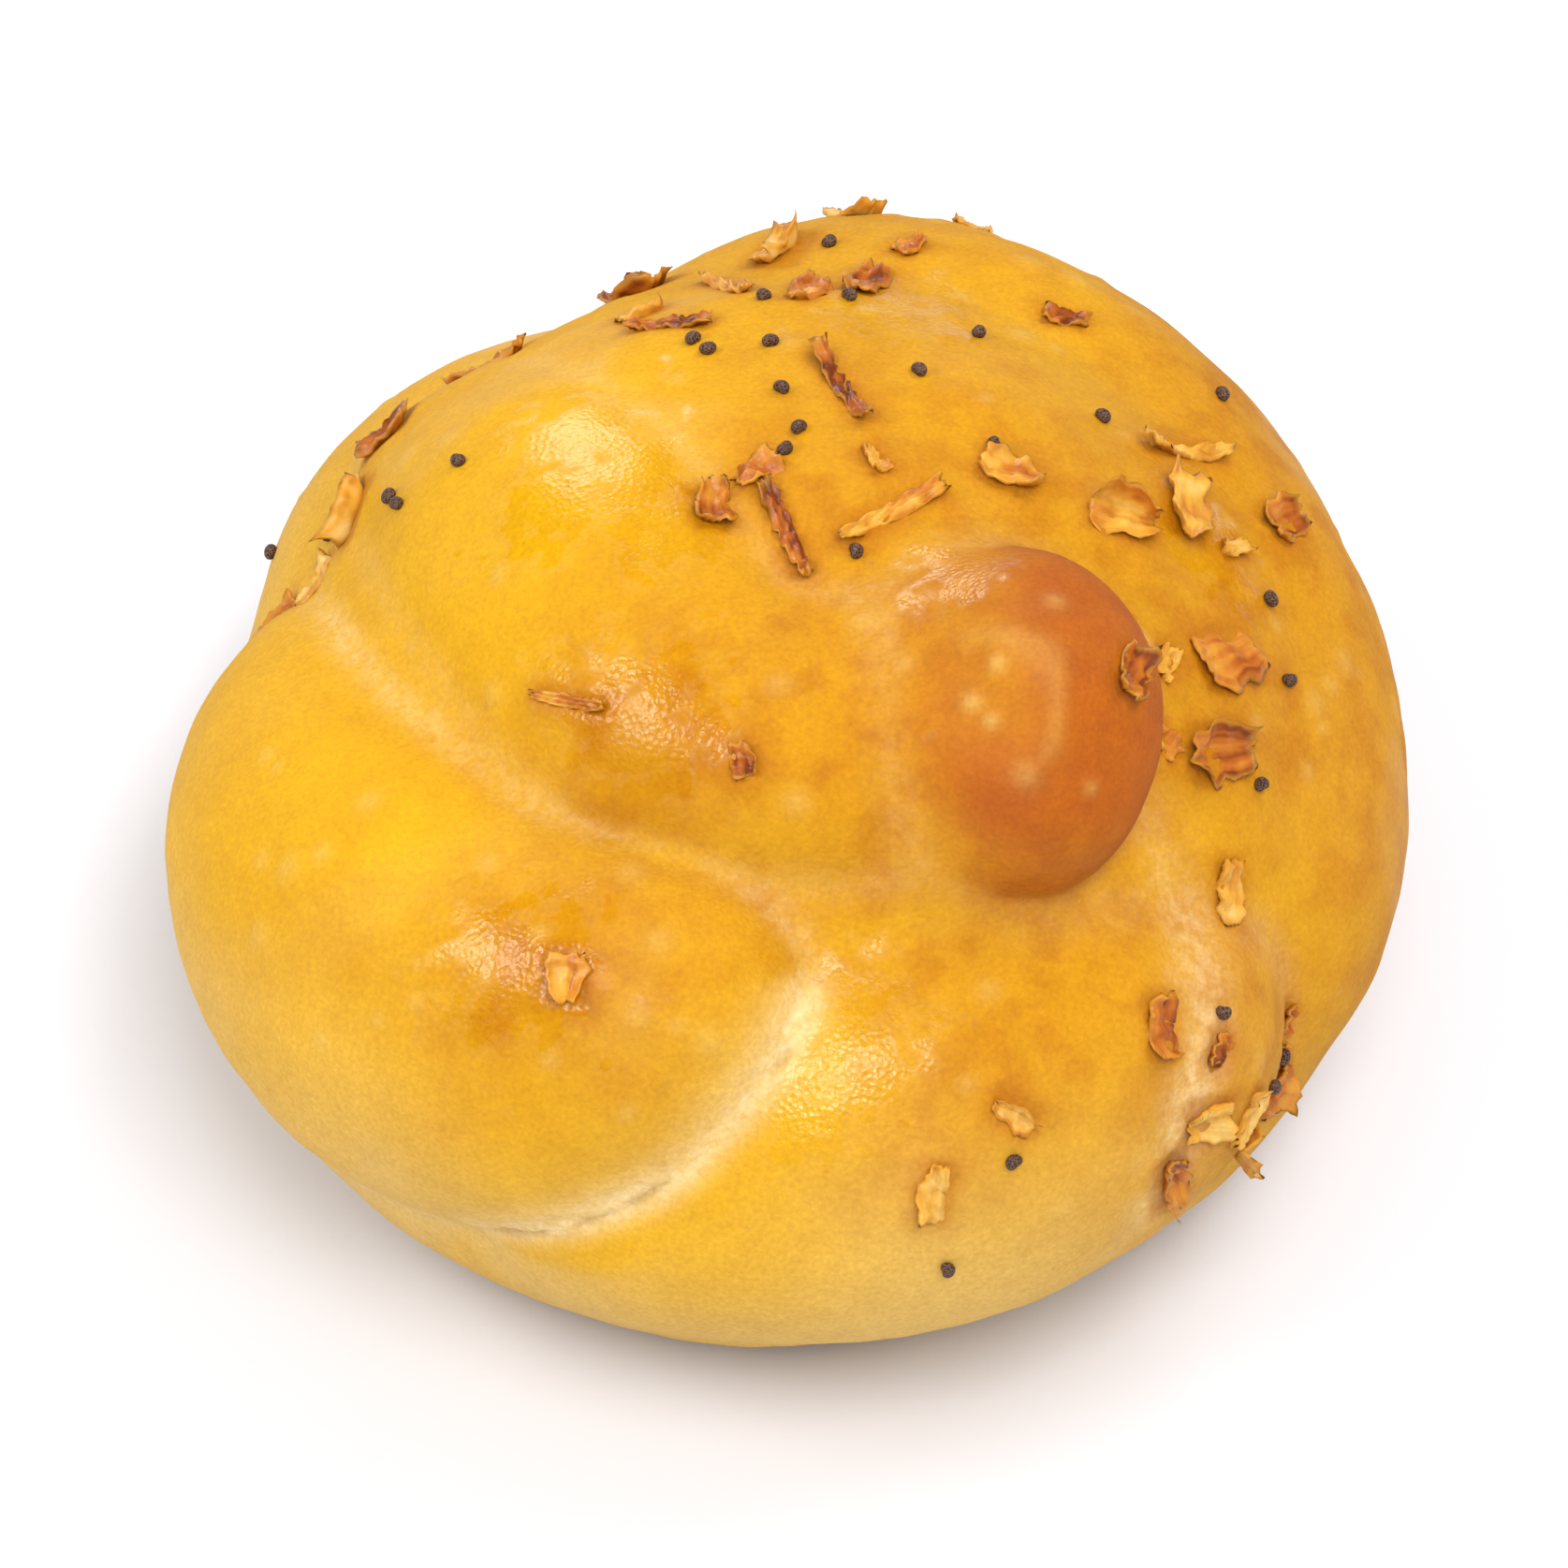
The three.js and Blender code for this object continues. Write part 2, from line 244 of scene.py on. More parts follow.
# where the strands meet, and how each part of the crust has baked
# a pair of lengths is where an effect starts and where it is full
bake = {
    "creaseShare": {  # how plainly the stretched crease shows
        ("leftLobe", "frontLobe"): 0.9,
        ("leftLobe", "overStrand"): 0.45,
        ("frontLobe", "overStrand"): 0.2,
        ("frontLobe", "body"): 0.14,
        ("knob", "overStrand"): 0.1,
        ("knob", "frontLobe"): 0.08,
        ("knob", "body"): 0.08,
        ("overStrand", "body"): 0.12,
        ("leftLobe", "body"): 0.3,
    },
    "creaseBreaks": (0.9, 0.6),  # how evenly it shows, and the swing of that
    "creaseWidth": 1.3 * mm,
    "creaseGrain": 0.32 * mm,
    "creaseSoften": 4,
    "pairSoften": 12,
    "slopeSoften": 8,
    "slopeRange": (0.25, 2),
    "neckSide": (12 * mm, 25 * mm),  # left of this the front lobe runs smoothly into the neck
    "neckGap": (2 * mm, 7 * mm),
    "neckRise": (20 * mm, 30 * mm),
    "neckSmooth": 90,
    "neckCrease": (11 * mm, 20 * mm),
    "knobReach": (1.5 * mm, 6 * mm),
    "knobSide": (9 * mm, 19 * mm),  # left of this the strand runs smoothly into the knob
    "knobSmooth": 420,
    "grownOnSoften": 40,
    "stretched": {  # the first strand's side of a crease that opened in the oven, with its width
        ("leftLobe", "frontLobe"): 2.3 * mm,
        ("frontLobe", "leftLobe"): 0.8 * mm,
        ("overStrand", "leftLobe"): 0.7 * mm,
        ("leftLobe", "overStrand"): 0.55 * mm,
        ("frontLobe", "body"): 2.4 * mm,
    },
    "fadedSoften": 6,
    "fadedNowhere": 0.01 * mm,
    "faded": {  # the first strand's side that the egg wash hardly reached, with its width
        ("leftLobe", "frontLobe"): 3.8 * mm,
        ("frontLobe", "leftLobe"): 1.2 * mm,
    },
    "washed": {("leftLobe", "overStrand"): 1.0},  # egg wash got into this crease
    "cracked": {("leftLobe", "frontLobe"): 1.0, ("leftLobe", "overStrand"): 0.4},  # torn along the line
    "crackWidth": 0.45 * mm,
    "crackDepth": 0.3 * mm,
    "crackBreaks": (-0.1, 0.3),
    "crackRise": (6 * mm, 14 * mm),
    "eggFlank": {  # the first strand's side where the egg wash ran together
        ("frontLobe", "leftLobe"): 1.0,
        ("leftLobe", "overStrand"): 1.0,
        ("overStrand", "leftLobe"): 0.35,
        ("body", "frontLobe"): 0.5,
    },
    "flankRange": (1.2 * mm, 8 * mm),
    "flankSoften": 10,
    # thick egg wash: place and radius
    "eggPools": [
        ((-34, 5, 27), 10), ((-33, -12, 32), 8), ((-24, 4, 44), 12),
        ((-15, 14, 46), 9), ((-24, -19, 37), 5), ((-4, -37, 22), 7),
    ],
    # the crust browned most here: place and radius
    "brownPools": [
        ((5.5, -18, 47), 10), ((-8, -15, 45.5), 10),
        ((-14, -28, 38.5), 11), ((8, -34, 30), 8),
    ],
    # where the glaze dried shiny: place, radius, and how much paler the crust is painted under it, a
    # painted highlight
    "shinyPools": [
        ((-16.5, -28.7, 38.8), 7, 0),
        ((-9.4, -14.8, 45.5), 7, 0),
        ((2.8, -32.8, 33), 7.5, 0.6),
        ((-12.7, 10.3, 46.4), 5.5, 0.3),
        ((-9.7, 5.1, 47.7), 5.5, 0.3),
        ((-15.5, 2.4, 47), 5.5, 0.3),
        ((-7.7, -0.5, 48.1), 4.5, 0.2),
        ((11.2, -4.5, 49.4), 4.5, 0.2),
        ((8, 26, 44), 6, 0),
        ((28, 6, 38), 5, 0),
    ],
    "thinGlaze": (0.05, 0.4),
    "thinShine": 0.35,
    "poolRagged": 0.35,
    "islands": (0.25, 0.55),  # the thick glaze broke up: coarse and fine share
    "islandRange": (0.15, 0.95),
    # the skin of the front lobe stretched here: places, width, share and depth
    "stretchLine": [
        (23.8, -15.7, 36.5), (26.1, -19.5, 31.8), (27.4, -26.1, 29.1),
        (26.5, -32.4, 23.1), (24.5, -36.5, 15),
    ],
    "stretchWidth": 2.1 * mm,
    "stretchRagged": 0.5,
    "stretchShare": (0.55, 0.15),  # low down, at the knob
    "stretchRise": (26 * mm, 36 * mm),
    "stretchDip": 0.4 * mm,
    "foldPitch": 1.7 * mm,
    "foldHeight": 0.09 * mm,
    "foldFade": 2.2 * mm,
    "foldSway": 0.3,
    "blisters": 90,
    "blisterRadius": (0.6 * mm, 1.3 * mm),
    "blisterHeight": (0.08, 0.22),  # of its radius
    "blisterSteep": 1.6,
    "blisterAbove": 18 * mm,
    "blisterFacing": 0.1,
    "blisterDraw": 517,
    "skinHeight": 0.07 * mm,
    "baseKept": (0.1 * mm, 2.5 * mm),
    "plateau": Vector((12.8 * mm, -17.4 * mm, 50 * mm)),  # flat face of the knob
    "plateauLean": 40,
    "plateauRadius": 4.8 * mm,
    "plateauSway": 0.3,
    "plateauDip": 0.25 * mm,
    "plateauRidge": 0.32 * mm,
    "ridgeWidth": 0.16,  # of the radius
    "ridgeSide": (-0.3, 0.9),
    # painted highlight along the knob's ridge, on its lit side
    "ridgeHighlight": 0.35,
    "knobEdge": (-1.5 * mm, 2.5 * mm),
    "knobBlisters": [(-0.8, 0.6, 0.68), (0.4, -0.6, 0.58), (0.9, 3.1, 0.62)],  # sideways, upward, radius
    "knobBlisterSteep": 1.2,
    "knobBlisterRise": 0.3 * mm,
    "knobPatches": 2 * mm,
    "knobBrown": (-2.5 * mm, 3 * mm),
    "knobBrownSide": (3 * mm, 14 * mm),
    "knobBrownSoften": 50,
    "knobBrownShare": (0.45, 0.55),  # all over, and more where it browned most
    "brownBelow": (-3 * mm, 4 * mm),
    "brownRight": (-1 * mm, 6 * mm),
    # painted light on the knob's down-facing underside
    "paintedLightBelow": (6 * mm, 10 * mm),
    # browning of the rest of the crust
    "crownSoften": 20,
    "toastShare": 0.8,
    "toastCrown": (0.15, 0.85),
    "toastRise": (14 * mm, 34 * mm),
    "heatSide": (-26 * mm, 6 * mm),
    "lessToastBehind": (2 * mm, 24 * mm),
    "knobHeat": (13 * mm, 25 * mm),
    "rightShare": 0.85,
    "rightSide": (8 * mm, 30 * mm),
    "rightRise": (1 * mm, 12 * mm),
    # the paler low band: less-baked sides, and partly painted light from the pale floor
    "paleAndFloorLightRise": (6 * mm, 37 * mm),
    "paleAndFloorLightSide": (14 * mm, 36 * mm),
    "footRise": (0.2 * mm, 1.6 * mm),
    "noises": {  # size and shift of what makes each effect uneven
        "creaseBreaks": (9 * mm, 67),
        "creaseGrain": (0.9 * mm, 3),
        "stretchEdge": (4 * mm, 71),
        "crackBreaks": (2.6 * mm, 73),
        "plateauEdge": (5 * mm, 31),
        "skin": (2.4 * mm, 7),
        "folds": (9 * mm, 61),
        "thinGlaze": (12 * mm, 83),
        "poolEdge": (5 * mm, 89),
        "islands": (2.6 * mm, 109),
        "fineIslands": (1.2 * mm, 127),
        "wide": (17 * mm, 11),
        "foot": (5 * mm, 23),
        "knobPatches": (6 * mm, 41),
    },
}


def bakeStep(name, value):
    return smoothStep(*bake[name], value)


def meshArrays(mesh):
    count = len(mesh.vertices)
    places = np.empty(count * 3)
    mesh.vertices.foreach_get("co", places)
    normals = np.empty(count * 3)
    mesh.vertices.foreach_get("normal", normals)
    edges = np.empty(len(mesh.edges) * 2, dtype=int)
    mesh.edges.foreach_get("vertices", edges)
    return places.reshape(-1, 3), normals.reshape(-1, 3), edges.reshape(-1, 2)


def softenField(values, edges, rounds):
    count = len(values)
    near = np.bincount(edges.ravel(), minlength=count)
    for _ in range(rounds):
        total = np.bincount(edges[:, 0], values[edges[:, 1]], count)
        total += np.bincount(edges[:, 1], values[edges[:, 0]], count)
        values = 0.5 * values + 0.5 * total / near
    return values


def heightOver(tree, places):
    heights = np.empty(len(places))
    for i, place in enumerate(places):
        spot, normal, _, distance = tree.find_nearest(place)
        inside = (Vector(place) - spot).dot(normal) < 0
        heights[i] = -distance if inside else distance
    return heights


def setField(mesh, name, values):
    mesh.attributes.new(name, "FLOAT", "POINT").data.foreach_set("value", values.astype(np.float32))


def moveVertices(mesh, places):
    mesh.vertices.foreach_set("co", places.ravel())
    mesh.update()


drawFactor = 16807
drawPrime = 2147483647


class Draws:
    def __init__(self, first):
        self.draw = first

    def one(self):
        self.draw = self.draw * drawFactor % drawPrime
        return self.draw / drawPrime

    def between(self, low, high):
        return low + (high - low) * self.one()


doughMesh = doughPiece.data
places, normals, edges = meshArrays(doughMesh)
parts = list(trees)
heights = np.stack([heightOver(trees[part], places) for part in parts], axis=1)
order = np.argsort(heights, axis=1)
rows = np.arange(len(places))
owner, neighbour = order[:, 0], order[:, 1]
gap = heights[rows, neighbour] - heights[rows, owner]

# the front lobe has grown on to the neck below the knob
frontBody = {parts.index("frontLobe"), parts.index("body")}
atNeck = np.isin(owner, list(frontBody)) & np.isin(neighbour, list(frontBody))
neckSide = bakeStep("neckSide", places[:, 0])
neck = atNeck * (1 - neckSide) * (1 - bakeStep("neckGap", gap))
neck = neck * bakeStep("neckRise", places[:, 2])
knobHeight = heights[:, parts.index("knob")]
root = 1 - bakeStep("knobReach", knobHeight)
root = root * (1 - bakeStep("knobSide", places[:, 0]))
for grownOn, rounds in ((neck, bake["neckSmooth"]), (root, bake["knobSmooth"])):
    share = softenField(grownOn, edges, bake["grownOnSoften"])
    settled = np.stack([softenField(places[:, axis], edges, rounds) for axis in range(3)], axis=1)
    places = places + (settled - places) * share[:, None]
moveVertices(doughMesh, places)
places, normals, edges = meshArrays(doughMesh)

# how far a point lies from the line of its crease
lengths = np.linalg.norm(places[edges[:, 0]] - places[edges[:, 1]], axis=1)
steep = np.abs(gap[edges[:, 0]] - gap[edges[:, 1]]) / lengths
slope = np.zeros(len(places))
np.maximum.at(slope, edges[:, 0], steep)
np.maximum.at(slope, edges[:, 1], steep)
away = gap / np.clip(softenField(slope, edges, bake["slopeSoften"]), *bake["slopeRange"])


def perPair(values, rest=0.0, bothWays=False):
    table = np.full((len(parts), len(parts)), rest)
    for (one, other), value in values.items():
        table[parts.index(one), parts.index(other)] = value
        if bothWays:
            table[parts.index(other), parts.index(one)] = value
    return table[owner, neighbour]


def awayFromSegment(points, start, end):
    way = np.array(end - start)
    share = np.clip((points - np.array(start)) @ way / (way @ way), 0, 1)
    return np.linalg.norm(points - np.array(start) - share[:, None] * way, axis=1)


def bakeNoise(name):
    return noiseAt(places, *bake["noises"][name])


neckCrease = bakeStep("neckCrease", places[:, 0])
shown = perPair(bake["creaseShare"], bothWays=True) * np.where(atNeck, neckCrease, 1)
evenness, swing = bake["creaseBreaks"]
shown = softenField(shown, edges, bake["pairSoften"]) * (evenness + swing * bakeNoise("creaseBreaks"))
crease = shown * np.exp(-((away / perPair(bake["stretched"], bake["creaseWidth"])) ** 2))
crease = softenField(crease, edges, bake["creaseSoften"])
faded = shown * np.exp(-((away / perPair(bake["faded"], bake["fadedNowhere"])) ** 2))
faded = softenField(faded, edges, bake["fadedSoften"])
line = [Vector(place) * mm for place in bake["stretchLine"]]
fromLine = np.min([awayFromSegment(places, *ends) for ends in zip(line, line[1:])], axis=0)
fromLine = fromLine * (1 + bake["stretchRagged"] * bakeNoise("stretchEdge"))
stretchLine = np.exp(-((fromLine / bake["stretchWidth"]) ** 2))
lowShare, highShare = bake["stretchShare"]
stretchShare = lowShare + (highShare - lowShare) * bakeStep("stretchRise", places[:, 2])
crease = np.maximum(crease, stretchShare * stretchLine)
washed = softenField(perPair(bake["washed"], bothWays=True), edges, bake["pairSoften"])
# a tear along the crease, dipped into the crust; its darker colour is painted shade inside the tear
shadedCrack = perPair(bake["cracked"], bothWays=True) * np.exp(-((away / bake["crackWidth"]) ** 2))
shadedCrack *= bakeStep("crackBreaks", bakeNoise("crackBreaks"))
shadedCrack *= bakeStep("crackRise", places[:, 2])
flankLow, flankHigh = bake["flankRange"]
flank = smoothStep(0, flankLow, gap) * (1 - smoothStep(flankLow, flankHigh, gap))
flank = softenField(flank * perPair(bake["eggFlank"]), edges, bake["flankSoften"])
for centre, size in bake["eggPools"]:
    beyond = np.linalg.norm(places - mm * np.array(centre), axis=1)
    flank = np.maximum(flank, np.exp(-((beyond / (size * mm)) ** 2)))
otherHeight = np.min(np.delete(heights, parts.index("knob"), axis=1), axis=1)
onKnob = bakeStep("knobEdge", otherHeight - knobHeight)
print("creases found on", int((crease > 0.5).sum()), "points")

# crust relief: grainy creases, a faint skin, the flat top of the knob
keepBase = bakeStep("baseKept", places[:, 2])
lean = math.radians(bake["plateauLean"])
sideways = places[:, 0] - bake["plateau"].x
upward = (places - np.array(bake["plateau"])) @ np.array((0, math.cos(lean), math.sin(lean)))
radius = bake["plateauRadius"]
fromPlateau = np.hypot(sideways, upward) * (1 + bake["plateauSway"] * bakeNoise("plateauEdge"))
ring = np.exp(-(((fromPlateau - radius) / (bake["ridgeWidth"] * radius)) ** 2))
ringSide = bakeStep("ridgeSide", (sideways + 0.5 * upward) / radius)
relief = bake["creaseGrain"] * crease * bakeNoise("creaseGrain")
relief += bake["skinHeight"] * bakeNoise("skin")
pulled = gap * (1 + bake["foldSway"] * bakeNoise("folds"))  # folds beside a stretched crease
folds = np.exp(-pulled / bake["foldFade"]) * np.cos(2 * math.pi * pulled / bake["foldPitch"])
relief += bake["foldHeight"] * shown * folds
blisterDraws = Draws(bake["blisterDraw"])
blister = np.zeros(len(places))
knobBlisterAndRidgeHighlight = np.zeros(len(places))
high = (places[:, 2] > bake["blisterAbove"]) & (normals[:, 2] > bake["blisterFacing"])
high = np.nonzero(high)[0]
for _ in range(bake["blisters"]):
    centre = places[high[int(blisterDraws.one() * len(high))]]
    size = blisterDraws.between(*bake["blisterRadius"])
    rise = size * blisterDraws.between(*bake["blisterHeight"])
    beyond = np.linalg.norm(places - centre, axis=1)
    dome = np.exp(-((beyond / size) ** 2) * bake["blisterSteep"])
    relief += rise * dome
    blister = np.maximum(blister, dome)
for across, up, size in bake["knobBlisters"]:
    beyond = np.hypot(sideways - across * mm, upward - up * mm)
    dome = onKnob * np.exp(-((beyond / (size * mm)) ** 2) * bake["knobBlisterSteep"])
    relief += bake["knobBlisterRise"] * dome
    knobBlisterAndRidgeHighlight = np.maximum(knobBlisterAndRidgeHighlight, dome)
relief += bake["plateauRidge"] * ring * ringSide * onKnob
relief -= bake["stretchDip"] * stretchLine
relief -= bake["crackDepth"] * shadedCrack
relief -= bake["plateauDip"] * (1 - smoothStep(0.5 * radius, 1.05 * radius, fromPlateau)) * onKnob
places = places + normals * (relief * keepBase)[:, None]
moveVertices(doughMesh, places)
print("crust relief done")


# toppings lie where the shared rule of the part puts them
toppings = {
    "chipLength": (2.6 * mm, 6 * mm),
    "chipBreadth": (0.5, 0.85),
    "stripLength": (6 * mm, 10 * mm),
    "stripWidth": (1 * mm, 1.6 * mm),
    "stripShare": 0.2,
    "flakeCurl": (0.04, 0.2),
    "flakeSkew": 0.3,
    "flakeTip": 14,
    "seedHalf": (0.6 * mm, 0.5 * mm, 0.46 * mm),
    "hubHeight": 14 * mm,
    "gap": 0.4 * mm,
    "crustReach": 40 * mm,
    "normalReach": 1.5 * mm,
    "tries": 30,
    "firstDraw": 3247,
    # turn, tilt, spread, size, flakes, seeds
    "showers": [
        (83, 40, 20, 1, 8, 8),
        (60, 6, 11, 1, 5, 3),
        (30, 46, 20, 1, 7, 4),
        (-20, 40, 8, 0.9, 2, 0),
        (-12, 56, 14, 1, 3, 2),
        (-38, 77, 16, 1, 9, 3),
        (-70, 72, 10, 0.8, 2, 2),
        (216, 34, 28, 0.6, 3, 0),
        (155, 44, 7, 1, 0, 3),
        (100, 74, 28, 1, 8, 5),
        (152, 66, 16, 1, 4, 2),
    ],
}


def showerDirection(draws, turn, tilt, spread):
    around = 2 * math.pi * draws.one()
    off = math.radians(spread) * math.sqrt(draws.one())
    turned = Matrix.Rotation(math.radians(turn), 3, "Z") @ Matrix.Rotation(math.radians(tilt), 3, "Y")
    return turned @ Matrix.Rotation(around, 3, "Z") @ Matrix.Rotation(off, 3, "Y") @ Vector((0, 0, 1))


def drawFlake(draws, share):
    narrow = draws.one() < toppings["stripShare"]
    size = draws.one()
    low, high = toppings["stripLength"] if narrow else toppings["chipLength"]
    length = share * (low + (high - low) * size)
    if narrow:
        width = share * draws.between(*toppings["stripWidth"])
    else:
        width = length * draws.between(*toppings["chipBreadth"])
    return {
        "narrow": narrow,
        "length": length,
        "width": width,
        "room": (length + width) / 4,
        "curl": draws.between(*toppings["flakeCurl"]),
        "skew": draws.between(-toppings["flakeSkew"], toppings["flakeSkew"]),
        "spin": draws.between(0, 360),
        "tip": draws.between(-toppings["flakeTip"], toppings["flakeTip"]),
    }


def drawSeed(draws, _):
    return {"room": toppings["seedHalf"][0], "spin": draws.between(0, 360), "tip": 0}


def scatter(draws, count, shower, drawOne, placed):
    turn, tilt, spread, share = shower[:4]
    chosen = []
    for _ in range(count):
        piece = drawOne(draws, share)
        for _ in range(toppings["tries"]):
            direction = showerDirection(draws, turn, tilt, spread)
            free = all(
                direction.angle(other["direction"]) * toppings["crustReach"]
                > piece["room"] + other["room"] + toppings["gap"]
                for other in placed
            )
            if free:
                piece["direction"] = direction
                placed.append(piece)
                chosen.append(piece)
                break
    return chosen


def lieOnCrust(piece, crustTree, lift):
    hub = Vector((0, 0, toppings["hubHeight"]))
    outside = hub + 2 * dough["rollRadius"] * piece["direction"]
    spot = crustTree.ray_cast(outside, -piece["direction"])[0]
    near = [hit[1] for hit in crustTree.find_nearest_range(spot, toppings["normalReach"])]
    normal = sum(near, Vector()).normalized()  # of the crust all round, not of one face
    lie = Vector((0, 0, 1)).rotation_difference(normal).to_matrix().to_4x4()
    spin = Matrix.Rotation(math.radians(piece["spin"]), 4, "Z")
    tip = Matrix.Rotation(math.radians(piece["tip"]), 4, "X")
    return Matrix.Translation(spot) @ lie @ Matrix.Translation((0, 0, lift)) @ spin @ tip


draws = Draws(toppings["firstDraw"])
placed, flakes, seeds = [], [], []
for shower in toppings["showers"]:
    flakes += scatter(draws, shower[4], shower, drawFlake, placed)
    seeds += scatter(draws, shower[5], shower, drawSeed, placed)
crustTree = surfaceTree(doughPiece)
print("toppings drawn:", len(flakes), "flakes,", len(seeds), "seeds")


# onion flakes: thin chips with ragged edges and veins along them, curled by the heat
onion = {
    "thickness": 0.45 * mm,
    "lift": -0.02 * mm,
    "cells": (18, 11),
    "taper": 0.35,
    "ragged": 0.34,
    "veinHeight": 0.08 * mm,
    "crumple": 0.55 * mm,
    "cup": (-0.02, 0.16),
    "twist": 0.16,
    "foldShare": 0.55,
    "foldAngle": (25, 70),
    "edgeWaves": (1.3, 1.1),  # along and across a chip
    "endWaves": (2.1, 1.6),
    "crumpleWaves": (1.3, 1.3),
    "veins": (2, 1.1),  # at least, and more for each millimetre of width
    "foldLine": (0.1, 0.6),
    "toastedFrom": (12 * mm, 32 * mm),  # lower flakes stay pale
    "tint": (0.02, 0.28, 0.56),  # least, by height, by chance
    "tintSpread": (0.1, 0.9),
    "grainStep": 0.031,
    "glazeRise": 0.14 * mm,
    "glazeReach": 0.9 * mm,
    "glazeInside": 0.42,  # of the flake's length and width
    "looksDraw": 811,
}


def roughField(u, v, shift):
    values = []
    for a, b in zip(u.ravel(), v.ravel()):
        spot = Vector((a, b, shift))
        values.append(noise.noise(spot) + 0.5 * noise.noise(2.3 * spot))
    return np.array(values).reshape(u.shape)


def flakeGrid(flake, looks):
    along, across = onion["cells"]
    u, v = np.meshgrid(np.linspace(-1, 1, along + 1), np.linspace(-1, 1, across + 1), indexing="ij")
    length, width, skew = flake["length"], flake["width"], flake["skew"]
    seed = looks.between(0, 90)
    stretch = length / width
    edgeAlong, edgeAcross = onion["edgeWaves"]
    endAlong, endAcross = onion["endWaves"]
    crumpleAlong, crumpleAcross = onion["crumpleWaves"]
    rag = roughField(edgeAlong * stretch * u, edgeAcross * np.sign(v), seed)
    nibble = roughField(endAlong * np.sign(u), endAcross * v, seed + 7)
    crumple = roughField(crumpleAlong * stretch * u, crumpleAcross * v, seed + 19)
    halfWidth = width / 2 * (1 - onion["taper"] * u * u) * (1 + skew * u) * (1 + onion["ragged"] * rag)
    x = length / 2 * (u + skew * v * (1 - u * u)) + width / 2 * onion["ragged"] * nibble * np.abs(u) ** 3
    y = v * halfWidth
    middle = flake["curl"] * length * u * u
    middle += looks.between(*onion["cup"]) * width * v * v
    middle += looks.between(-onion["twist"], onion["twist"]) * width * u * v
    fewest, perWidth = onion["veins"]
    veins = round(fewest + perWidth * width / mm)
    middle += onion["veinHeight"] * np.sin(math.pi * veins * v + looks.between(0, 6)) * (1 - v * v)
    middle += onion["crumple"] * crumple
    # one edge folded up
    foldShare, foldSide = looks.one(), 1 if looks.one() < 0.5 else -1
    foldLine = looks.between(*onion["foldLine"])
    bend = math.radians(looks.between(*onion["foldAngle"]))
    if foldShare < onion["foldShare"] and not flake["narrow"]:
        beyond = np.maximum(foldSide * v + 0.3 * u * skew - foldLine, 0) * width / 2
        y -= foldSide * beyond * (1 - math.cos(bend))
        middle += beyond * math.sin(bend)
    roundEnds = np.sqrt(np.clip(1 - u ** 6, 0, 1))
    roundEdges = np.sqrt(np.clip(1 - v ** 6, 0, 1))
    half = onion["thickness"] / 2 * roundEnds * roundEdges
    rim = np.maximum(np.abs(u), np.abs(v))
    return u, v, x, y, middle, half, rim


def addFlake(flake, frameOf, looks, number, corners, faces, fields):
    u, v, x, y, middle, half, rim = flakeGrid(flake, looks)
    rowsOf, colsOf = u.shape
    first = len(corners)
    toasted = smoothStep(*onion["toastedFrom"], frameOf.translation.z)
    least, byHeight, byChance = onion["tint"]
    tint = least + byHeight * toasted + byChance * smoothStep(*onion["tintSpread"], looks.one())
    top = np.arange(u.size).reshape(u.shape) + first
    under = top.copy()
    inner = np.zeros(u.shape, bool)
    inner[1:-1, 1:-1] = True
    under[inner] = first + u.size + np.arange(inner.sum())
    halfLength, halfWidth = flake["length"] / 2, flake["width"] / 2
    for side, keep in ((1, np.ones(u.shape, bool)), (-1, inner)):
        for a, b, c, edge, along, over in zip(x[keep], y[keep], (middle + side * half)[keep],
                                              rim[keep], u[keep], v[keep]):
            corners.append(tuple(frameOf @ Vector((a, b, c))))
            fields["tint"].append(tint)
            fields["rim"].append(edge)
            fields["grain"].append((along * halfLength, over * halfWidth, onion["grainStep"] * number))
    for i in range(rowsOf - 1):
        for j in range(colsOf - 1):
            faces.append((top[i, j], top[i + 1, j], top[i + 1, j + 1], top[i, j + 1]))
            faces.append((under[i, j], under[i, j + 1], under[i + 1, j + 1], under[i + 1, j]))


def pieceFromArrays(name, corners, faces):
    mesh = bpy.data.meshes.new(name)
    mesh.from_pydata(corners, [], [tuple(int(corner) for corner in face) for face in faces])
    mesh.update()
    piece = bpy.data.objects.new(name, mesh)
    bpy.context.scene.collection.objects.link(piece)
    pick(piece)
    bpy.ops.object.shade_smooth()
    return piece


looks = Draws(onion["looksDraw"])
corners, faces, fields = [], [], {"tint": [], "rim": [], "grain": []}
frames = []
for number, flake in enumerate(flakes):
    frames.append(lieOnCrust(flake, crustTree, onion["lift"]))
    addFlake(flake, frames[-1], looks, number, corners, faces, fields)
flakePiece = pieceFromArrays("onionFlakes", corners, faces)
setField(flakePiece.data, "tint", np.array(fields["tint"]))
setField(flakePiece.data, "rim", np.array(fields["rim"]))
grainField = flakePiece.data.attributes.new("grain", "FLOAT_VECTOR", "POINT")
grainField.data.foreach_set("vector", np.array(fields["grain"], dtype=np.float32).ravel())
print("onion flakes laid:", len(faces), "faces")


# poppy seeds: small kidneys with a dent on one side
poppy = {
    "lift": 0.31 * mm,
    "rings": 10,
    "sides": 16,
    "dent": 0.3,
    "dentWidth": 0.4,
    "bend": 0.16,
}


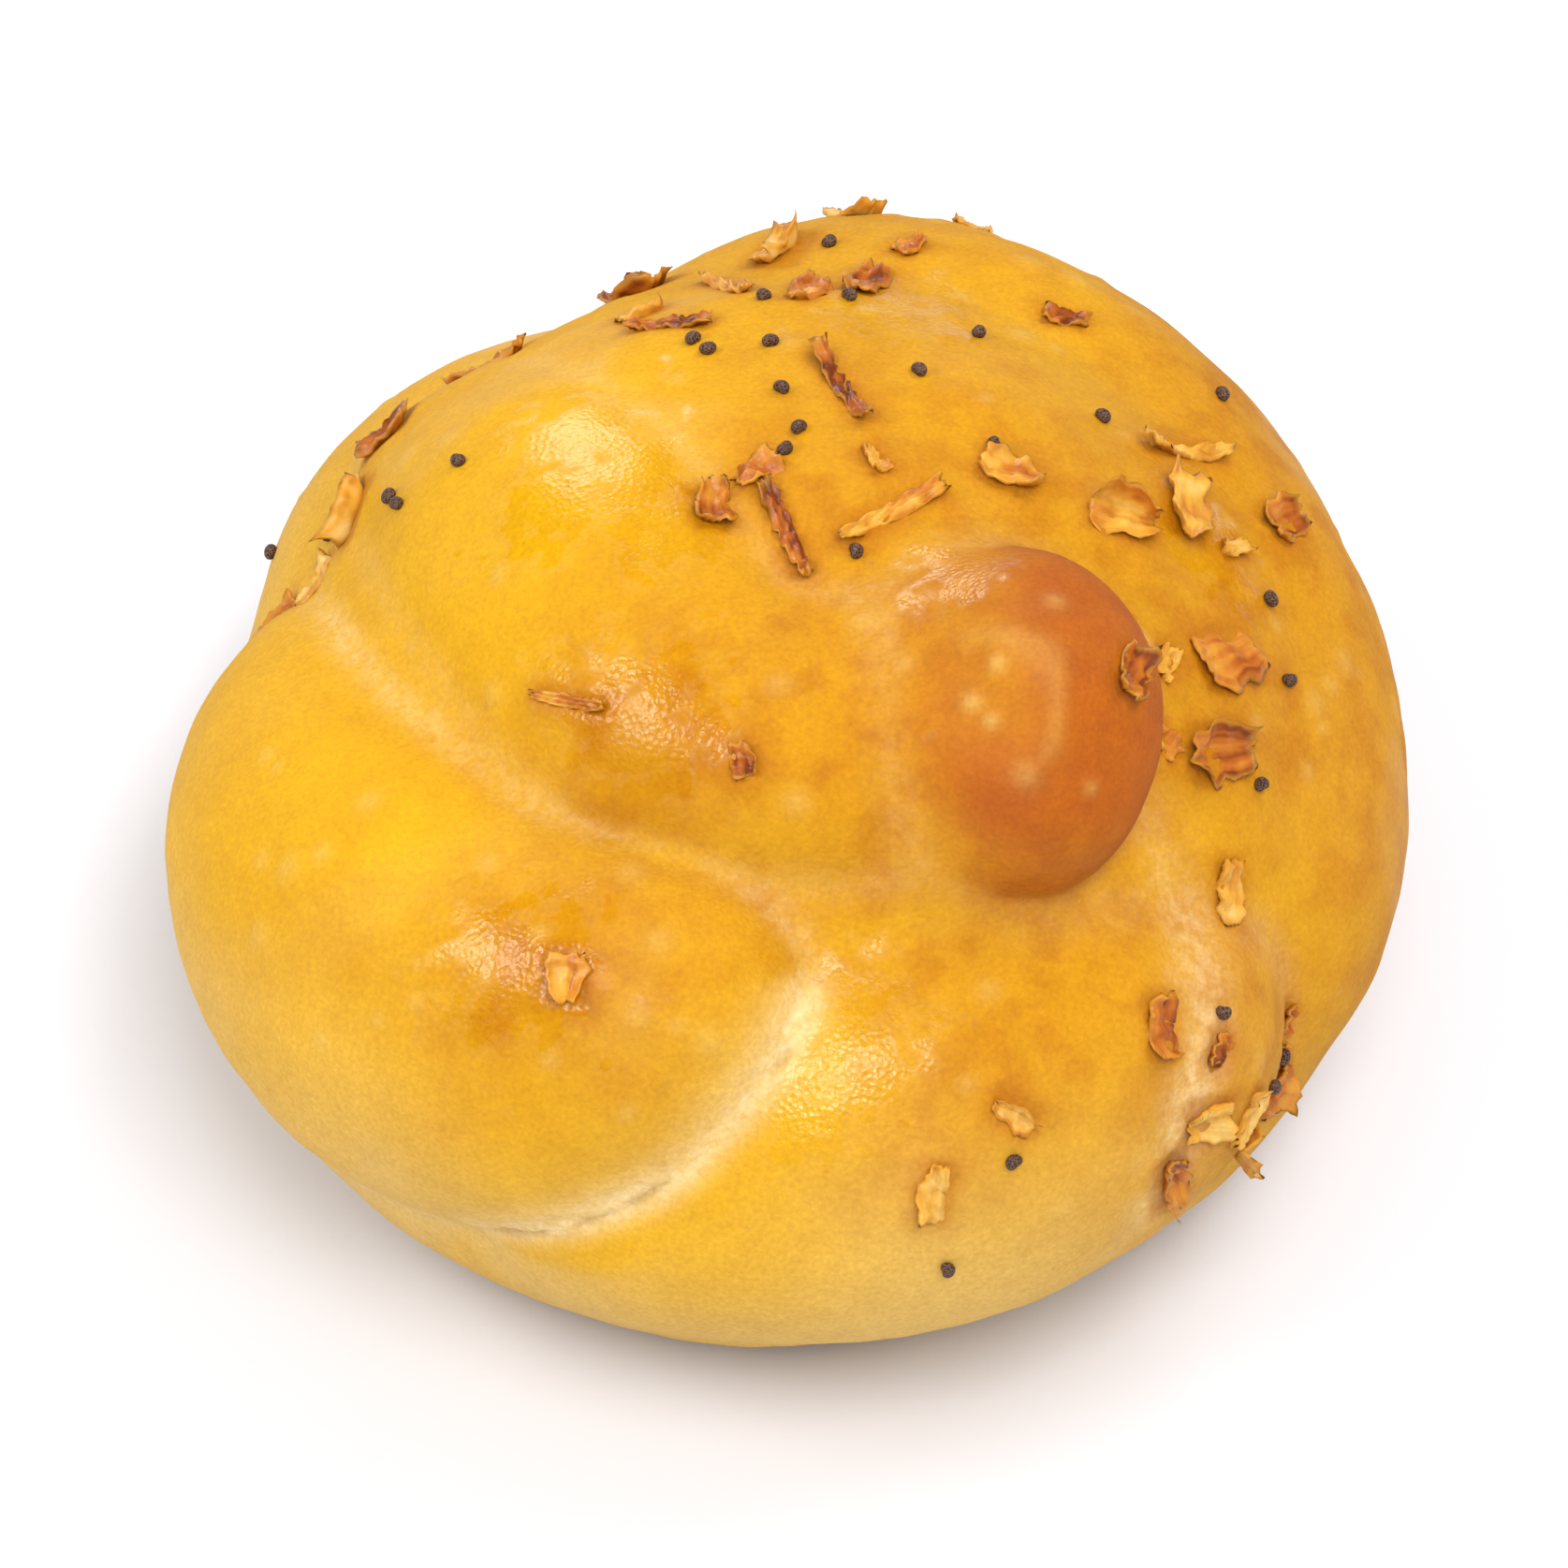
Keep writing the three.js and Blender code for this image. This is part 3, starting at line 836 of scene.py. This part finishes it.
def addSeed(frameOf, corners, faces):
    first = len(corners)
    rings, sides = poppy["rings"], poppy["sides"]
    for i in range(1, rings):
        polar = math.pi * i / rings
        for j in range(sides):
            turn = 2 * math.pi * j / sides
            x, y, z = math.cos(polar), math.sin(polar) * math.cos(turn), math.sin(polar) * math.sin(turn)
            dent = poppy["dent"] * math.exp(-((x / poppy["dentWidth"]) ** 2)) * max(0, y) ** 2
            bent = y - dent + poppy["bend"] * x * x
            corner = [a * b for a, b in zip((x, bent, z), toppings["seedHalf"])]
            corners.append(tuple(frameOf @ Vector(corner)))
    for x in (1, -1):
        corner = [a * b for a, b in zip((x, poppy["bend"], 0), toppings["seedHalf"])]
        corners.append(tuple(frameOf @ Vector(corner)))
    tipOf, tailOf = len(corners) - 2, len(corners) - 1
    for j in range(sides):
        after = (j + 1) % sides
        faces.append((tipOf, first + j, first + after))
        last = first + (rings - 2) * sides
        faces.append((tailOf, last + after, last + j))
        for i in range(rings - 2):
            row = first + i * sides
            faces.append((row + j, row + sides + j, row + sides + after, row + after))


corners, faces = [], []
for seed in seeds:
    addSeed(lieOnCrust(seed, crustTree, poppy["lift"]), corners, faces)
seedPiece = pieceFromArrays("poppySeeds", corners, faces)
print("poppy seeds laid:", len(faces), "faces")


# egg wash gathers round the flakes and the crust browns there; this darker ring at their feet is also
# painted shade under the flakes
def stainAndShadeField(places, frames):
    stainAndShade = np.zeros(len(places))
    for flake, frameOf in zip(flakes, frames):
        centre = np.array(frameOf.translation)
        close = np.nonzero(np.linalg.norm(places - centre, axis=1) < flake["length"])[0]
        inverse = np.array(frameOf.inverted())
        local = places[close] @ inverse[:3, :3].T + inverse[:3, 3]
        beyond = np.hypot(
            np.maximum(np.abs(local[:, 0]) - onion["glazeInside"] * flake["length"], 0),
            np.maximum(np.abs(local[:, 1]) - onion["glazeInside"] * flake["width"], 0),
        )
        stainAndShade[close] = np.maximum(stainAndShade[close], np.exp(-((beyond / onion["glazeReach"]) ** 2)))
    return stainAndShade


stainAndShade = stainAndShadeField(places, frames)
climb = onion["glazeRise"] * 4 * stainAndShade * (1 - stainAndShade) * keepBase  # glaze up the flakes' edges
places = places + normals * climb[:, None]
moveVertices(doughMesh, places)
shiny = bake["thinShine"] * bakeStep("thinGlaze", bakeNoise("thinGlaze"))
browned = np.zeros(len(places))
paintedHighlightPallor = np.zeros(len(places))
ragged = 1 + bake["poolRagged"] * bakeNoise("poolEdge")
coarseShare, fineShare = bake["islands"]
islands = coarseShare * bakeNoise("islands") + fineShare * bakeNoise("fineIslands")


def poolField(centre, size):
    beyond = np.linalg.norm(places - mm * np.array(centre), axis=1)
    return np.exp(-((beyond * ragged / (size * mm)) ** 2))


for centre, size in bake["brownPools"]:
    browned = np.maximum(browned, poolField(centre, size))
# under the shine the crust is painted paler: painted highlight
for centre, size, highlightPallor in bake["shinyPools"]:
    pool = poolField(centre, size)
    shiny = np.maximum(shiny, bakeStep("islandRange", pool + islands))
    paintedHighlightPallor = np.maximum(paintedHighlightPallor, highlightPallor * pool)
low = places[:, 2]
crown = softenField(np.clip(normals[:, 2], -1, 1), edges, bake["crownSoften"])
wide = bakeNoise("wide")
knobCentre = rollPlace(*dough["masses"]["knob"][:3])
fromKnob = np.linalg.norm(places - np.array(knobCentre), axis=1) + 3 * mm * wide
toast = bakeStep("toastCrown", crown + 0.35 * wide) * bakeStep("toastRise", low)
toast *= 0.4 + 0.6 * bakeStep("heatSide", places[:, 0])  # this side faced the heat
# less toast towards the back
toast *= 1 - 0.4 * bakeStep("lessToastBehind", places[:, 1])
toast = np.maximum(toast, 1 - bakeStep("knobHeat", fromKnob))
rightBrown = bake["rightShare"] * bakeStep("rightSide", places[:, 0])
rightBrown *= 0.6 + 0.4 * bakeStep("rightRise", low)
toast = np.maximum(np.maximum(bake["toastShare"] * toast, rightBrown), browned) * (1 - paintedHighlightPallor)
# paler low down: the less-baked sides, and also painted light standing in for bounce and reflection from
# the pale floor
paleAndFloorLight = 1 - bakeStep("paleAndFloorLightRise", low + 6 * mm * wide)
paleAndFloorLight *= 1 - 0.8 * bakeStep("paleAndFloorLightSide", places[:, 0])
foot = 1 - bakeStep("footRise", low + 0.5 * mm * bakeNoise("foot"))

# the knob browned most below and on the right; its lowest part is painted lighter, as painted light where
# it faces down away from the lamps
patchy = bake["knobPatches"] * bakeNoise("knobPatches")
overKnob = softenField(otherHeight - knobHeight, edges, bake["knobBrownSoften"])
knobBrown = bakeStep("knobBrown", overKnob)
knobBrown *= bakeStep("knobBrownSide", places[:, 0] + 1.5 * patchy + 0.3 * upward)
edgeBrown = np.maximum(bakeStep("brownBelow", -upward + patchy),
                       bakeStep("brownRight", sideways + patchy))
edgeBrown *= 1 - 0.4 * bakeStep("paintedLightBelow", -upward)
allOver, atEdge = bake["knobBrownShare"]
crustFields = {
    "crease": crease,
    "shadedCrack": shadedCrack,
    "faded": faded,
    "washed": washed,
    "flank": flank,
    "knob": knobBrown * (allOver + atEdge * edgeBrown),
    "knobTop": (1 - smoothStep(0.5 * radius, 1.1 * radius, fromPlateau)) * onKnob,
    # the knob's blisters, plus a painted highlight along one side of its ridge
    "knobBlisterAndRidgeHighlight": np.maximum(knobBlisterAndRidgeHighlight, bake["ridgeHighlight"] * ring * ringSide * onKnob),
    "shiny": shiny,
    "toast": toast,
    "paleAndFloorLight": paleAndFloorLight,
    "foot": foot,
    "stainAndShade": stainAndShade,
    "blister": blister,
}
for name, values in crustFields.items():
    setField(doughMesh, name, values)
pick(doughPiece)
doughMesh.validate(clean_customdata=False)  # the cut at the tray can leave a face twice
bpy.ops.object.mode_set(mode="EDIT")
bpy.ops.mesh.select_all(action="SELECT")
bpy.ops.mesh.normals_make_consistent(inside=False)
bpy.ops.mesh.delete_loose()  # or edges without a face
bpy.ops.object.mode_set(mode="OBJECT")
bpy.ops.object.shade_smooth_by_angle(angle=math.radians(50))
print("baking fields written")


# node helpers
def colourOf(red, green, blue, share=1.0):
    values = []
    for value in (red, green, blue):
        value = value / 255
        values.append(share * (value / 12.92 if value <= 0.04045 else ((value + 0.055) / 1.055) ** 2.4))
    return (*values, 1)


def plug(tree, socket, value):
    if isinstance(value, bpy.types.NodeSocket):
        tree.links.new(value, socket)
    else:
        socket.default_value = value


def mixColour(tree, factor, first, second, blend="MIX"):
    node = tree.nodes.new("ShaderNodeMix")
    node.data_type = "RGBA"
    node.blend_type = blend
    plug(tree, node.inputs[0], factor)
    plug(tree, node.inputs[6], first)
    plug(tree, node.inputs[7], second)
    return node.outputs[2]


def mathNode(tree, operation, first, second=0.5):
    node = tree.nodes.new("ShaderNodeMath")
    node.operation = operation
    plug(tree, node.inputs[0], first)
    plug(tree, node.inputs[1], second)
    return node.outputs[0]


def rangeNode(tree, value, low, high, newLow=0.0, newHigh=1.0):
    node = tree.nodes.new("ShaderNodeMapRange")
    node.interpolation_type = "SMOOTHSTEP"
    plug(tree, node.inputs["Value"], value)
    node.inputs["From Min"].default_value = low
    node.inputs["From Max"].default_value = high
    node.inputs["To Min"].default_value = newLow
    node.inputs["To Max"].default_value = newHigh
    return node.outputs["Result"]


def noiseNode(tree, vector, scale, detail=2.0, roughness=0.5):
    node = tree.nodes.new("ShaderNodeTexNoise")
    plug(tree, node.inputs["Vector"], vector)
    plug(tree, node.inputs["Scale"], scale)
    node.inputs["Detail"].default_value = detail
    node.inputs["Roughness"].default_value = roughness
    return node.outputs["Fac"]


def fieldNode(tree, name, output="Fac"):
    node = tree.nodes.new("ShaderNodeAttribute")
    node.attribute_name = name
    return node.outputs[output]


def fieldShare(tree, name, share):
    return mathNode(tree, "MULTIPLY", fieldNode(tree, name), share)


def objectCoords(tree):
    return tree.nodes.new("ShaderNodeTexCoord").outputs["Object"]


def addBump(tree, shader, height, strength, distance):
    bump = tree.nodes.new("ShaderNodeBump")
    bump.inputs["Strength"].default_value = strength
    bump.inputs["Distance"].default_value = distance
    tree.links.new(height, bump.inputs["Height"])
    tree.links.new(bump.outputs["Normal"], shader.inputs["Normal"])


def newMaterial(name):
    material = bpy.data.materials.new(name)
    material.use_nodes = True
    return material, material.node_tree, material.node_tree.nodes["Principled BSDF"]


# baked mottle, shared by crust and onion: darker and lighter specks of the same colour
def mottleGroup():
    group = bpy.data.node_groups.new("bakedMottle", "ShaderNodeTree")
    for name, kind in (("Color", "NodeSocketColor"), ("Vector", "NodeSocketVector"),
                       ("Scale", "NodeSocketFloat"), ("Amount", "NodeSocketFloat")):
        group.interface.new_socket(name, in_out="INPUT", socket_type=kind)
    group.interface.new_socket("Color", in_out="OUTPUT", socket_type="NodeSocketColor")
    group.interface.new_socket("Height", in_out="OUTPUT", socket_type="NodeSocketFloat")
    start = group.nodes.new("NodeGroupInput")
    end = group.nodes.new("NodeGroupOutput")
    speck = noiseNode(group, start.outputs["Vector"], start.outputs["Scale"], 4.0, 0.6)
    centred = mathNode(group, "SUBTRACT", speck, 0.5)
    swing = mathNode(group, "MULTIPLY", centred, start.outputs["Amount"])
    gain = mathNode(group, "ADD", swing, 1.0)
    tone = group.nodes.new("ShaderNodeCombineColor")
    group.links.new(gain, tone.inputs["Red"])
    group.links.new(mathNode(group, "POWER", gain, 1.25), tone.inputs["Green"])
    group.links.new(mathNode(group, "POWER", gain, 1.7), tone.inputs["Blue"])
    group.links.new(mixColour(group, 1.0, start.outputs["Color"], tone.outputs["Color"], "MULTIPLY"),
                    end.inputs["Color"])
    group.links.new(speck, end.inputs["Height"])
    return group


def placeGroup(tree, group, **values):
    node = tree.nodes.new("ShaderNodeGroup")
    node.node_tree = group
    for name, value in values.items():
        plug(tree, node.inputs[name], value)
    return node


mottle = mottleGroup()

# glazed egg crust
crustLook = {
    "share": 0.585,
    "golden": (248, 186, 30),
    "egg": (255, 190, 0),
    "toast": (213, 132, 6),
    # less-baked low sides, made brighter as painted light from the pale floor
    "paleAndFloorLight": (248, 203, 112),
    "paleAndFloorLightShare": 0.63,
    # brighter than the crust's share: the pale crease's own colour plus painted light against the shade
    # in the crease
    "cream": (255, 225, 166),
    "creamShare": 0.73,
    "creamEgg": (255, 216, 84),
    "creamEggShare": 0.72,
    # brighter than the crust's share: pale stretched dough plus painted light against the shade in the
    # crease
    "stretched": (254, 212, 126),
    "stretchedShare": 0.67,
    "knob": (204, 105, 14),
    "knobTop": (226, 142, 46),
    "knobDark": (188, 89, 22),
    # browned egg wash round the flakes, and painted shade at their feet
    "stainAndShade": (206, 118, 10),
    "foot": (168, 104, 40),
    # painted shade inside the tear
    "shadedCrack": (176, 124, 52),
    "blister": (253, 208, 112),
    # noise scales are per metre, and a range is lowest and highest
    "patches": (70.0, 0.36, 0.68),
    "smallPatches": (260.0, 0.35, 0.7),
    "toastSwing": (0.72, 1.1),
    "flankSwing": (0.7, 1),
    "grain": (1000.0, 0.34, 0.64),
    "grainSwing": (0.4, 1.1),
    "knobDarkMix": 0.5,
    "knobTopMix": 0.3,
    "blisterMix": 0.3,
    "knobBlisterAndHighlightMix": 0.55,
    "crackShadeMix": 0.5,
    "stainAndShadeMix": 0.5,
    "footMix": 0.8,
    "coarseMottle": (420.0, 0.2),
    "fineMottle": (2800.0, 0.5),
    "shinyRange": (0.05, 0.8),
    "roughness": (0.86, 0.2),  # thin glaze, thick glaze
    "bareRange": (0.1, 0.8),
    "bareRoughness": 0.9,
    "specular": 0.28,
    "specularTint": (1, 0.94, 0.8, 1),
    "wrinkleScale": 2500.0,
    "reliefShares": (0.6, 0.6, 0.3),  # wrinkles, fine and coarse mottle
    "bumpStrength": 0.38,
    "bumpDistance": 0.16 * mm,
}


def crustMaterial():
    material, tree, shader = newMaterial("glazedCrust")
    look = crustLook
    vector = objectCoords(tree)

    def tone(name):
        return colourOf(*look[name], look.get(name + "Share", look["share"]))

    def noiseRange(values, *settings, swing=(0, 1)):
        scale, low, high = values
        return rangeNode(tree, noiseNode(tree, vector, scale, *settings), low, high, *swing)

    def mottled(base, values):
        scale, amount = values
        return placeGroup(tree, mottle, Color=base, Vector=vector, Scale=scale, Amount=amount)

    patches = noiseRange(look["patches"], 3.0)
    small = noiseRange(look["smallPatches"], 3.0)
    toasted = fieldShare(tree, "toast", rangeNode(tree, small, 0, 1, *look["toastSwing"]))
    flanks = fieldShare(tree, "flank", rangeNode(tree, patches, 0, 1, *look["flankSwing"]))
    bare = fieldShare(tree, "crease", noiseRange(look["grain"], 4.0, 0.65, swing=look["grainSwing"]))
    bareTone = mixColour(tree, fieldNode(tree, "washed"), tone("cream"), tone("creamEgg"))
    darker = rangeNode(tree, small, 0, 1, 0, look["knobDarkMix"])
    knobTone = mixColour(tree, darker, tone("knob"), tone("knobDark"))
    knobTone = mixColour(tree, fieldShare(tree, "knobTop", look["knobTopMix"]), knobTone, tone("knobTop"))
    # blisters, and the painted highlight on the knob's ridge
    raised = mathNode(tree, "MAXIMUM", fieldShare(tree, "blister", look["blisterMix"]),
                      fieldShare(tree, "knobBlisterAndRidgeHighlight", look["knobBlisterAndHighlightMix"]))
    layers = (
        (toasted, tone("toast")),
        # paler low band, partly painted floor light
        (fieldNode(tree, "paleAndFloorLight"), tone("paleAndFloorLight")),
        (flanks, tone("egg")),
        (fieldNode(tree, "faded"), tone("stretched")),
        (fieldNode(tree, "knob"), knobTone),
        (raised, tone("blister")),
        (bare, bareTone),
        # painted shade along the tear in the crease
        (fieldShare(tree, "shadedCrack", look["crackShadeMix"]), tone("shadedCrack")),
        # stain and painted shade round the flakes
        (fieldShare(tree, "stainAndShade", look["stainAndShadeMix"]), tone("stainAndShade")),
        (fieldShare(tree, "foot", look["footMix"]), tone("foot")),
    )
    colour = mixColour(tree, patches, tone("golden"), tone("egg"))
    for share, over in layers:
        colour = mixColour(tree, share, colour, over)
    coarse = mottled(colour, look["coarseMottle"])
    fine = mottled(coarse.outputs["Color"], look["fineMottle"])
    tree.links.new(fine.outputs["Color"], shader.inputs["Base Color"])
    glaze = rangeNode(tree, fieldNode(tree, "shiny"), *look["shinyRange"], *look["roughness"])
    dull = rangeNode(tree, bare, *look["bareRange"], 0, look["bareRoughness"])
    tree.links.new(mathNode(tree, "MAXIMUM", glaze, dull), shader.inputs["Roughness"])
    shader.inputs["Specular IOR Level"].default_value = look["specular"]
    shader.inputs["Specular Tint"].default_value = look["specularTint"]

    # tight wrinkles of the glaze
    cells = tree.nodes.new("ShaderNodeTexVoronoi")
    cells.feature = "F1"
    tree.links.new(vector, cells.inputs["Vector"])
    cells.inputs["Scale"].default_value = look["wrinkleScale"]
    heights = (cells.outputs["Distance"], fine.outputs["Height"], coarse.outputs["Height"])
    wrinkles, fineRelief, coarseRelief = [
        mathNode(tree, "MULTIPLY", height, share) for height, share in zip(heights, look["reliefShares"])
    ]
    height = mathNode(tree, "ADD", mathNode(tree, "ADD", wrinkles, fineRelief), coarseRelief)
    addBump(tree, shader, height, look["bumpStrength"], look["bumpDistance"])
    return material


# toasted onion
onionLook = {
    "share": 0.66,
    "yellow": (255, 204, 44),
    "cream": (252, 208, 118),
    "straw": (246, 180, 62),
    "tan": (222, 138, 42),
    "brown": (190, 96, 24),
    "dark": (132, 60, 16),
    "glaze": (240, 168, 48),
    "roughness": 0.38,
    "specular": 0.3,
    # from untoasted to burnt
    "stops": (
        (0.0, "yellow"), (0.1, "cream"), (0.35, "straw"),
        (0.6, "tan"), (0.84, "brown"), (1.0, "dark"),
    ),
    "veinScale": (160.0, 1500.0, 1000.0),
    "patchScale": 420.0,
    "speckScale": 1100.0,
    "speckAmount": 0.5,
    "speckRelief": 0.6,
    # each is from where to where, and how much it adds to the toasting
    "edgeToast": (0.6, 1.0, 0.0, 0.1),
    "veinToast": (0.3, 0.75, -0.1, 0.14),
    "patchToast": (0.35, 0.68, -0.13, 0.19),
    "edgeGlaze": (0.72, 1.0, 0.0, 0.6),
    "bumpStrength": 0.6,
    "bumpDistance": 0.1 * mm,
}


def onionMaterial():
    material, tree, shader = newMaterial("toastedOnion")
    look = onionLook
    ramp = tree.nodes.new("ShaderNodeValToRGB")
    while len(ramp.color_ramp.elements) < len(look["stops"]):
        ramp.color_ramp.elements.new(1.0)
    for stop, (place, name) in zip(ramp.color_ramp.elements, look["stops"]):
        stop.position = place
        stop.color = colourOf(*look[name], look["share"])
    grain = fieldNode(tree, "grain", "Vector")
    stretch = tree.nodes.new("ShaderNodeMapping")
    stretch.inputs["Scale"].default_value = look["veinScale"]
    tree.links.new(grain, stretch.inputs["Vector"])
    veins = noiseNode(tree, stretch.outputs["Vector"], 1.0, 2.0)
    patches = noiseNode(tree, objectCoords(tree), look["patchScale"], 2.0)
    edgeToast = rangeNode(tree, fieldNode(tree, "rim"), *look["edgeToast"])
    veinToast = rangeNode(tree, veins, *look["veinToast"])
    patchToast = rangeNode(tree, patches, *look["patchToast"])
    toast = mathNode(tree, "ADD", mathNode(tree, "ADD", edgeToast, veinToast), patchToast)
    toast = mathNode(tree, "ADD", fieldNode(tree, "tint"), toast)
    tree.links.new(toast, ramp.inputs["Fac"])
    washed = rangeNode(tree, fieldNode(tree, "rim"), *look["edgeGlaze"])  # egg wash over the edges
    colour = mixColour(tree, washed, ramp.outputs["Color"], colourOf(*look["glaze"], look["share"]))
    specks = placeGroup(tree, mottle, Color=colour, Vector=objectCoords(tree),
                        Scale=look["speckScale"], Amount=look["speckAmount"])
    tree.links.new(specks.outputs["Color"], shader.inputs["Base Color"])
    shader.inputs["Roughness"].default_value = look["roughness"]
    shader.inputs["Specular IOR Level"].default_value = look["specular"]
    speckHeight = mathNode(tree, "MULTIPLY", specks.outputs["Height"], look["speckRelief"])
    height = mathNode(tree, "ADD", veins, speckHeight)
    addBump(tree, shader, height, look["bumpStrength"], look["bumpDistance"])
    return material


# brown-black poppy seed with its net of ridges
poppyLook = {
    "dark": (46, 30, 24),
    "ridge": (108, 80, 64),
    "netScale": 5200.0,
    "netEdge": (0.02, 0.2),
    "roughness": 0.5,
    "specular": 0.2,
    "bumpStrength": 0.6,
    "bumpDistance": 0.04 * mm,
}


def poppyMaterial():
    material, tree, shader = newMaterial("poppySeed")
    look = poppyLook
    net = tree.nodes.new("ShaderNodeTexVoronoi")
    net.feature = "DISTANCE_TO_EDGE"
    tree.links.new(objectCoords(tree), net.inputs["Vector"])
    net.inputs["Scale"].default_value = look["netScale"]
    ridge = rangeNode(tree, net.outputs["Distance"], *look["netEdge"], 1.0, 0.0)
    colour = mixColour(tree, ridge, colourOf(*look["dark"]), colourOf(*look["ridge"]))
    tree.links.new(colour, shader.inputs["Base Color"])
    shader.inputs["Roughness"].default_value = look["roughness"]
    shader.inputs["Specular IOR Level"].default_value = look["specular"]
    addBump(tree, shader, ridge, look["bumpStrength"], look["bumpDistance"])
    return material


dressing = (
    (doughPiece, crustMaterial()),
    (flakePiece, onionMaterial()),
    (seedPiece, poppyMaterial()),
)
for piece, material in dressing:
    piece.data.materials.clear()
    piece.data.materials.append(material)
    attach(piece, "root")
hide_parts("roll")
print("materials done")


# pale floor, soft studio light and the camera
studio = {
    "aim": Vector((0, 0, 22 * mm)),
    "elevation": 50,
    "distance": 0.6,
    "field": 106 * mm,
    "sensor": 36,
    "floor": (0.64, 0.635, 0.665, 1),
    "floorRoughness": 0.9,
    "floorSize": 4,
    "floorDrop": 0.05 * mm,
    "sky": (0.74, 0.05),  # on matt surfaces, in reflections
    # place, size, power
    "lamps": {
        "key": ((0.18, -0.4, 0.88), 0.45, 6.2),
        "frontFill": ((0.1, -0.9, 0.3), 0.5, 1.2),
        "leftFill": ((-0.72, -0.1, 0.6), 0.6, 4.5),
        "backFill": ((0.5, 0.4, 0.72), 0.6, 4.7),
    },
    "glints": {  # small boxes that only the glaze shows
        "leftBox": ((-0.63, -0.02, 0.78), 0.15, 4.0),
        "lowBox": ((-0.66, -0.2, 0.72), 0.13, 1.0),
        "topBox": ((-0.15, -0.43, 0.89), 0.15, 4.5),
        "backBox": ((-0.2, 0.8, 0.36), 0.3, 2.4),
    },
}

deselectAll()
bpy.ops.mesh.primitive_plane_add(size=studio["floorSize"], location=(0, 0, -studio["floorDrop"]))
floor = bpy.context.object
floor.name = "floor"
floorMaterial, _, floorShader = newMaterial("paleFloor")
floorShader.inputs["Base Color"].default_value = studio["floor"]
floorShader.inputs["Roughness"].default_value = studio["floorRoughness"]
floor.data.materials.append(floorMaterial)

world = bpy.data.worlds.new("studio")
world.use_nodes = True
sky = world.node_tree.nodes["Background"]
sky.inputs["Color"].default_value = (1, 1, 1, 1)
lightPath = world.node_tree.nodes.new("ShaderNodeLightPath")
dimmed = rangeNode(world.node_tree, lightPath.outputs["Is Glossy Ray"], 0, 1, *studio["sky"])
world.node_tree.links.new(dimmed, sky.inputs["Strength"])
bpy.context.scene.world = world
for kind in ("lamps", "glints"):
    for name, (place, size, power) in studio[kind].items():
        toRoll = studio["aim"] - Vector(place)
        turn = toRoll.to_track_quat("-Z", "Y").to_euler()
        bpy.ops.object.light_add(type="AREA", location=place, rotation=turn)
        light = bpy.context.object
        light.name = name
        light.data.size = size
        light.data.energy = power
        light.visible_glossy = kind == "glints"
        light.visible_diffuse = kind == "lamps"

tilt = math.radians(studio["elevation"])
back = Vector((0, -math.cos(tilt), math.sin(tilt)))
bpy.ops.object.camera_add(
    location=studio["aim"] + studio["distance"] * back,
    rotation=(math.pi / 2 - tilt, 0, 0),
)
camera = bpy.context.object
camera.data.sensor_width = studio["sensor"]
camera.data.lens = studio["sensor"] * studio["distance"] / studio["field"]
bpy.context.scene.camera = camera
bpy.context.scene.view_settings.view_transform = "Standard"
print("studio ready")
